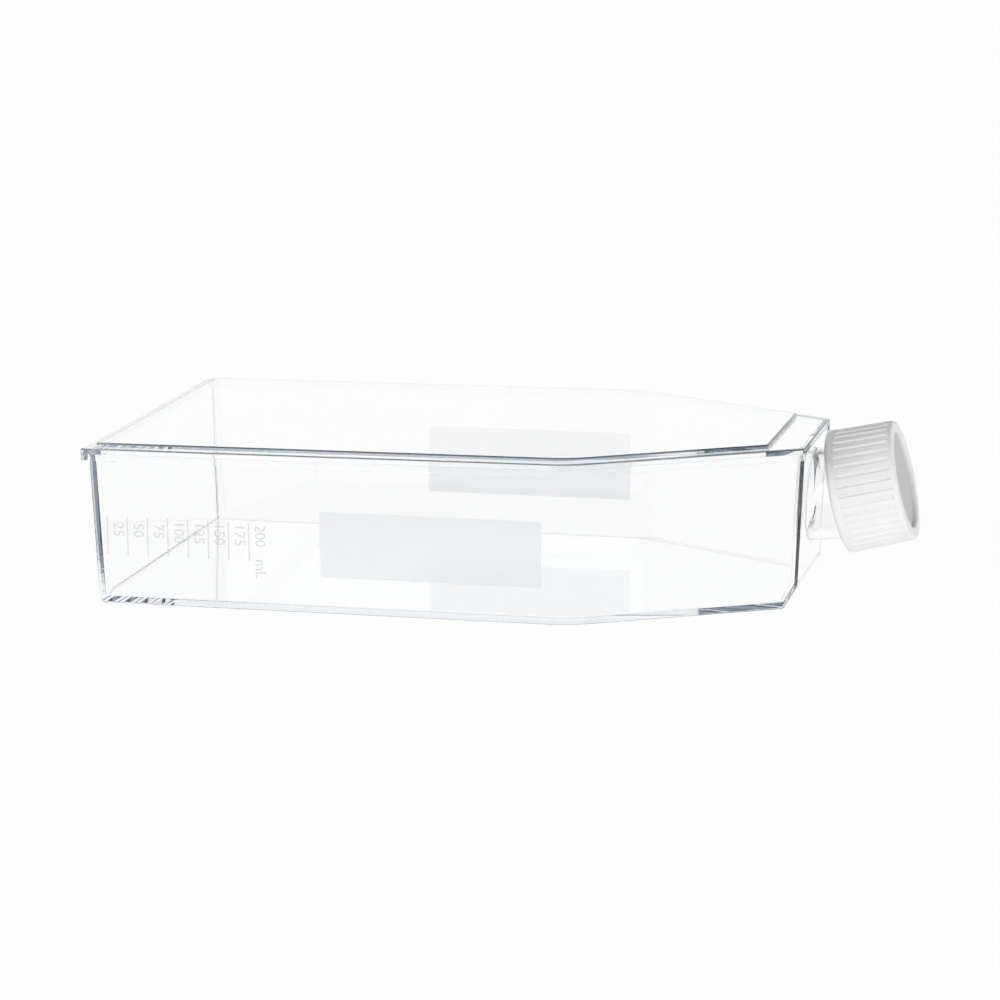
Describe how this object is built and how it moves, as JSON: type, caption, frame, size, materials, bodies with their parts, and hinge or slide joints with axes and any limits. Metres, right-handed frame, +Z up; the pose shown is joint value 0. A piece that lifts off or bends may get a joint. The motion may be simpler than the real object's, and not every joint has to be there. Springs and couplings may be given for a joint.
{
  "type": "cell culture flask",
  "caption": "Clear rectangular cell culture flask with tapered shoulders, a canted neck, a welded top plate and a ribbed vented screw cap, lying on its growth surface.",
  "frame": {"origin": "on the plane of the foot, under the middle of the overall length and width", "axes": "+X towards the neck and cap, +Z up from the growth surface to the top plate, +Y to the left when looking along +X"},
  "size_m": [0.2194, 0.1174, 0.0482],
  "materials": {
    "clear_polystyrene": "clear polished polystyrene",
    "cap_white": "satin white polyethylene",
    "membrane": "matt hydrophobic membrane",
    "seal": "soft translucent elastomer",
    "print_field": "frosted writing patch",
    "print_ink": "flat grey ink"
  },
  "bodies": {
    "flask": {"flask_body": "clear_polystyrene", "top_plate": "clear_polystyrene"},
    "seal": {"seal_ring": "seal"},
    "cap": {"cap_shell": "cap_white", "vent_membrane": "membrane"}
  },
  "joints": [
    {"name": "cap_lift", "type": "slide", "parent": "flask", "child": "seal", "axis": [0.9744, 0, 0.225], "range_m": [0, 0.0195]},
    {"name": "cap_turn", "type": "hinge", "parent": "seal", "child": "cap", "pos_m": [0.08182, 0, 0.0267], "axis": [0.9744, 0, 0.225], "range_deg": [0, 1080]}
  ],
  "couplings": [
    {"joint": "cap_lift", "follows": "cap_turn", "m_per_rad": 0.0010345}
  ]
}
